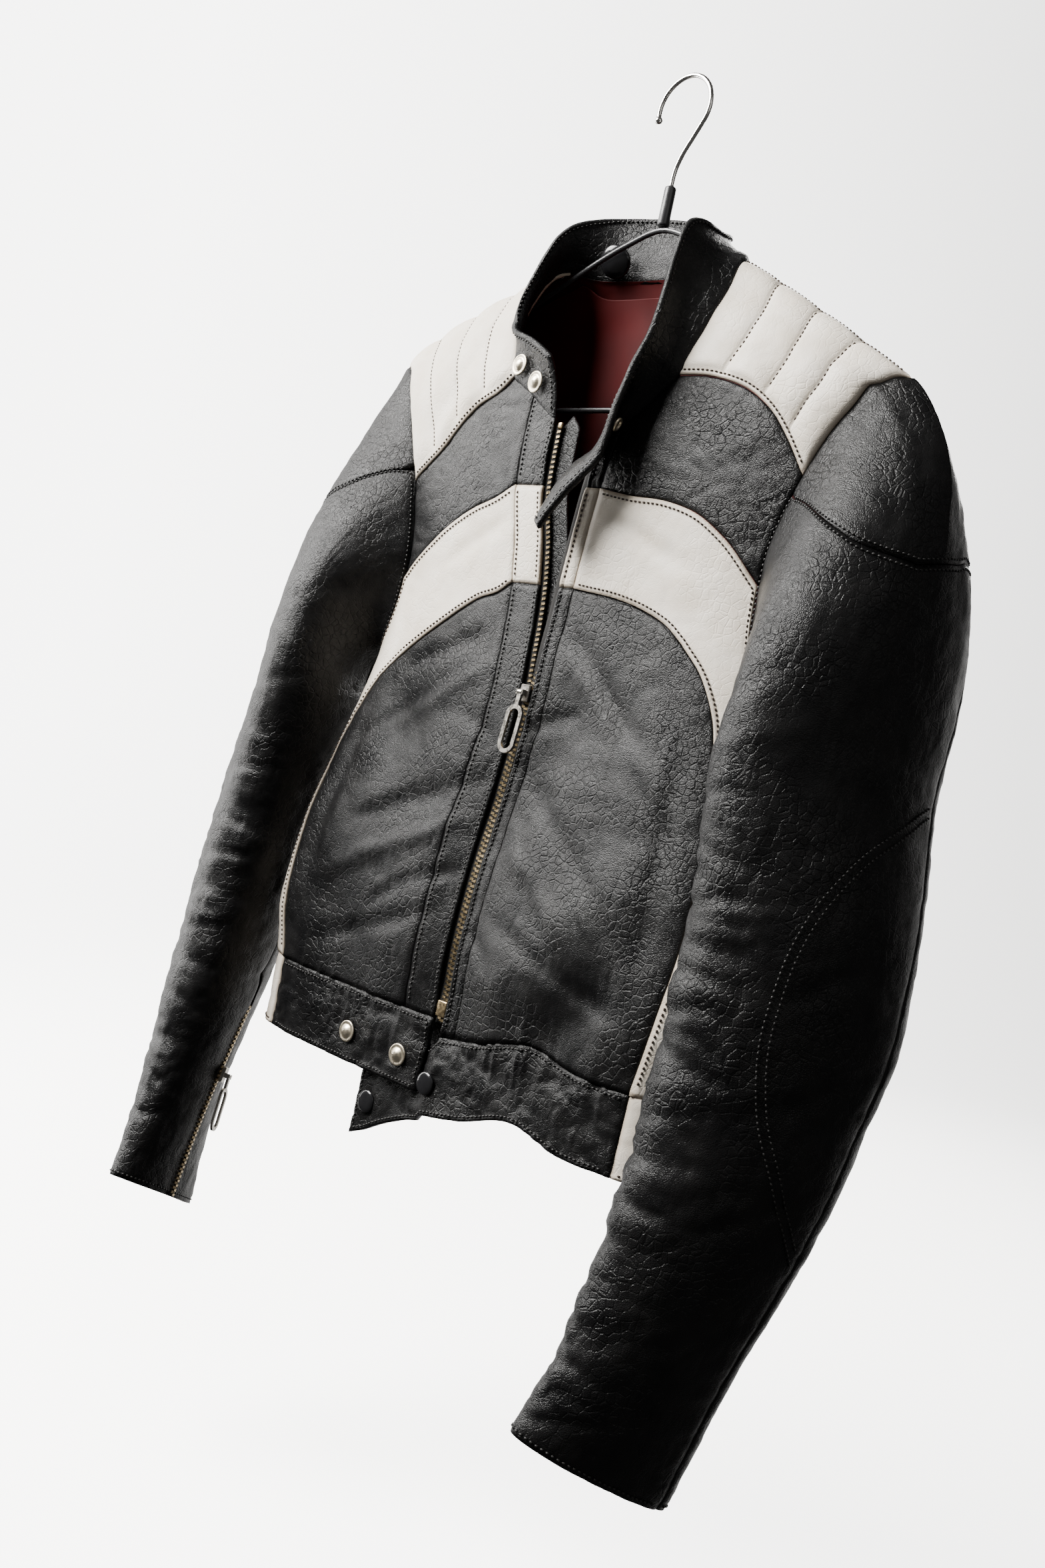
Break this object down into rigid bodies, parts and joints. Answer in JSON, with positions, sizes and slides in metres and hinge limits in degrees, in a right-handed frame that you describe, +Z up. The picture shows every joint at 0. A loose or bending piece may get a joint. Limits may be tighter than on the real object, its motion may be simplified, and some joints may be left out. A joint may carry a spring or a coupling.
{
  "type": "leather motorcycle jacket on a wire hanger",
  "caption": "Waist-length leather riding jacket with quilted shoulder yokes, a contrast chest stripe, stand collar, front zip and snap waist band, hanging open-necked on a wire hanger.",
  "frame": {"origin": "inside top of the hanger's hook, where it rests on what holds it up", "axes": "+Z up, +X to the wearer's left, -Y the way the jacket's front faces"},
  "size_m": [0.6204, 0.2107, 0.8991],
  "materials": {
    "black_leather": "semi-gloss grained leather",
    "cream_leather": "semi-matte grained leather",
    "red_lining": "satin lining",
    "nickel": "polished nickel",
    "zip_tape": "woven tape",
    "hanger_coating": "plastic coating"
  },
  "bodies": {
    "jacket": {"back": "black_leather", "band_back": "black_leather", "band_cap_inner": "black_leather", "band_cap_outer": "black_leather", "band_left": "black_leather", "band_right": "black_leather", "band_side_left": "cream_leather", "band_side_right": "cream_leather", "band_stud_inner": "nickel", "band_stud_outer": "nickel", "chest_left": "black_leather", "chest_right": "black_leather", "collar": "black_leather", "collar_disc": "black_leather", "collar_socket_lower": "nickel", "collar_socket_middle": "nickel", "collar_socket_upper": "nickel", "collar_stud_lower": "nickel", "collar_stud_upper": "nickel", "cuff_slider_left": "nickel", "cuff_slider_right": "nickel", "cuff_zip_left": "zip_tape", "cuff_zip_right": "zip_tape", "front_left": "black_leather", "front_right": "black_leather", "hanger_frame": "hanger_coating", "hanger_hook": "nickel", "hanger_neck": "hanger_coating", "lining_back": "red_lining", "placket_lower_left": "black_leather", "placket_lower_right": "black_leather", "placket_stripe_left": "cream_leather", "placket_stripe_right": "cream_leather", "placket_upper_left": "black_leather", "placket_upper_right": "black_leather", "sleeve_cap_left": "black_leather", "sleeve_cap_right": "black_leather", "sleeve_top_left": "black_leather", "sleeve_top_right": "black_leather", "sleeve_under_left": "black_leather", "sleeve_under_right": "black_leather", "stripe_left": "cream_leather", "stripe_right": "cream_leather", "wind_flap": "black_leather", "yoke_left": "cream_leather", "yoke_right": "cream_leather", "zip_slider": "nickel", "zip_tape_left": "zip_tape", "zip_tape_right": "zip_tape"},
    "front_pull": {"zip_pull": "nickel"},
    "left_cuff_pull": {"cuff_pull_left": "nickel"},
    "right_cuff_pull": {"cuff_pull_right": "nickel"}
  },
  "joints": [
    {"name": "front_pull_swing", "type": "hinge", "parent": "jacket", "child": "front_pull", "pos_m": [0.01205, -0.0533, -0.44687], "axis": [-1, -0.0097, 0.0004], "range_deg": [0, 150]},
    {"name": "left_cuff_pull_swing", "type": "hinge", "parent": "jacket", "child": "left_cuff_pull", "pos_m": [0.21814, -0.04917, -0.78289], "axis": [0.5367, 0.7916, -0.2921], "range_deg": [0, 140]},
    {"name": "right_cuff_pull_swing", "type": "hinge", "parent": "jacket", "child": "right_cuff_pull", "pos_m": [-0.21814, -0.04917, -0.78289], "axis": [0.5367, -0.7916, 0.2921], "range_deg": [0, 140]}
  ]
}
